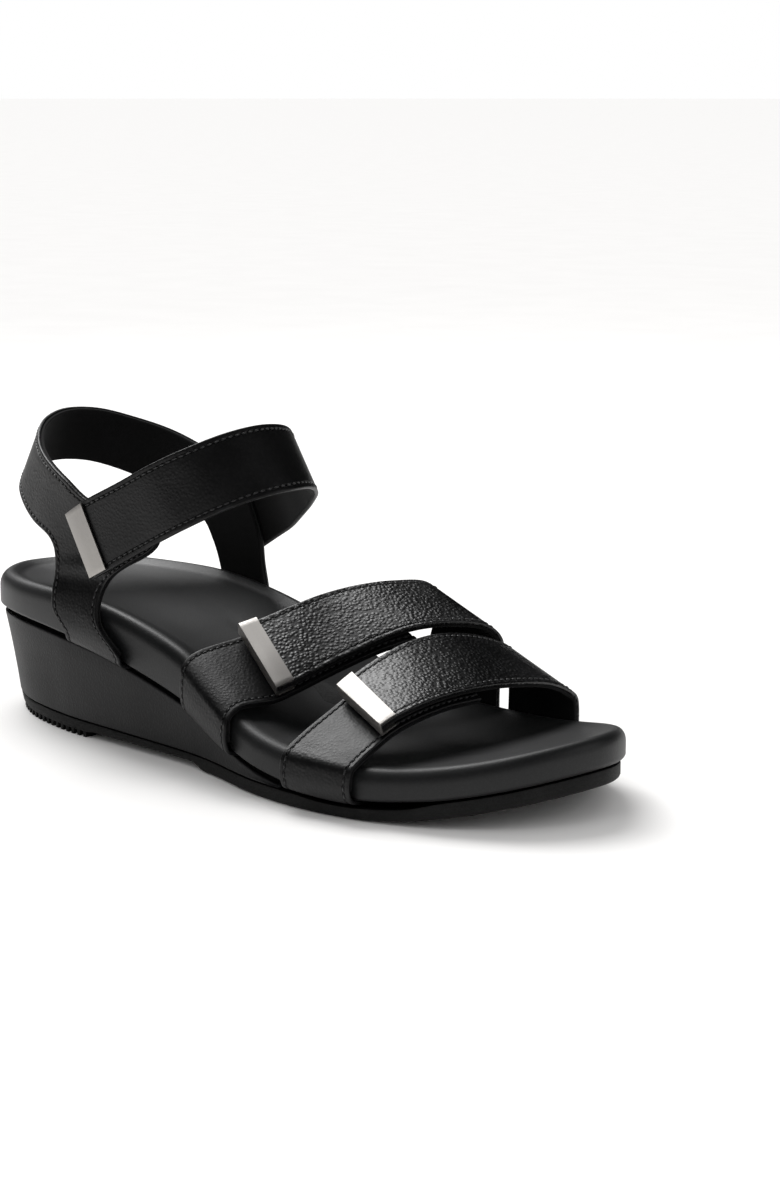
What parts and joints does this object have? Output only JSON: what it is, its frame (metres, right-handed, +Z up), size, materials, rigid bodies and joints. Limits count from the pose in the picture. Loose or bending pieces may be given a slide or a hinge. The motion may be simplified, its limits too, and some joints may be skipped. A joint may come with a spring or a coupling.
{
  "type": "wedge sandal",
  "caption": "Women's wedge sandal for the right foot: contoured footbed on a low wedge, two hook-and-loop forefoot straps with metal tips, and an ankle strap with a heel sling.",
  "frame": {"origin": "on the ground under the middle of the sandal's box", "axes": "+X to the toe, +Y to the inner (medial) side of the foot, +Z up"},
  "size_m": [0.2524, 0.0958, 0.1036],
  "materials": {
    "rubber_sole": "moulded matt black rubber",
    "sole_foam": "black EVA foam, hidden inside the wedge",
    "wedge_wrap_leather": "smooth black coated leather wrap, low sheen",
    "shank_steel": "plain spring steel strip, hidden",
    "fibreboard": "brown cellulose insole board, hidden",
    "footbed_foam": "soft foam, hidden inside the footbed",
    "footbed_leather": "smooth black footbed leather, soft sheen",
    "strap_leather": "fine pebbled black leather with black topstitching",
    "strap_lining": "matt black microfibre lining",
    "hook_loop_tape": "black hook-and-loop tape",
    "satin_nickel": "satin brushed nickel plate"
  },
  "bodies": {
    "sole_unit": {"outsole": "rubber_sole", "wedge_core": "sole_foam", "wedge_wrap": "wedge_wrap_leather", "shank": "shank_steel", "insole_board": "fibreboard", "footbed_core": "footbed_foam", "footbed_cover": "footbed_leather", "front_strap_root": "strap_leather", "front_strap_root_lining": "strap_lining", "front_tab": "strap_leather", "front_tab_lining": "strap_lining", "front_loop_tape": "hook_loop_tape", "instep_strap_root": "strap_leather", "instep_strap_root_lining": "strap_lining", "instep_tab": "strap_leather", "instep_tab_lining": "strap_lining", "instep_loop_tape": "hook_loop_tape", "ankle_strap_root": "strap_leather", "ankle_strap_root_lining": "strap_lining", "ankle_loop_tape": "hook_loop_tape", "back_quarter": "strap_leather", "back_quarter_lining": "strap_lining"},
    "front_strap_body": {"front_strap": "strap_leather", "front_strap_lining": "strap_lining", "front_hook_tape": "hook_loop_tape", "front_strap_tip": "satin_nickel"},
    "instep_strap_body": {"instep_strap": "strap_leather", "instep_strap_lining": "strap_lining", "instep_hook_tape": "hook_loop_tape", "instep_strap_tip": "satin_nickel"},
    "ankle_strap_body": {"ankle_strap": "strap_leather", "ankle_strap_lining": "strap_lining", "ankle_hook_tape": "hook_loop_tape", "ankle_strap_tag": "satin_nickel"}
  },
  "joints": [
    {"name": "front_strap_open", "type": "hinge", "parent": "sole_unit", "child": "front_strap_body", "pos_m": [0.06965, 0.04752, 0.0225], "axis": [-0.9987, 0.0127, 0.0497], "range_deg": [0, 110]},
    {"name": "instep_strap_open", "type": "hinge", "parent": "sole_unit", "child": "instep_strap_body", "pos_m": [0.03929, 0.04535, 0.02795], "axis": [-0.924, -0.1127, 0.3655], "range_deg": [0, 90]},
    {"name": "ankle_strap_open", "type": "hinge", "parent": "sole_unit", "child": "ankle_strap_body", "pos_m": [-0.03214, 0.03557, 0.07357], "axis": [-0.481, 0.063, 0.8745], "range_deg": [0, 120]}
  ]
}
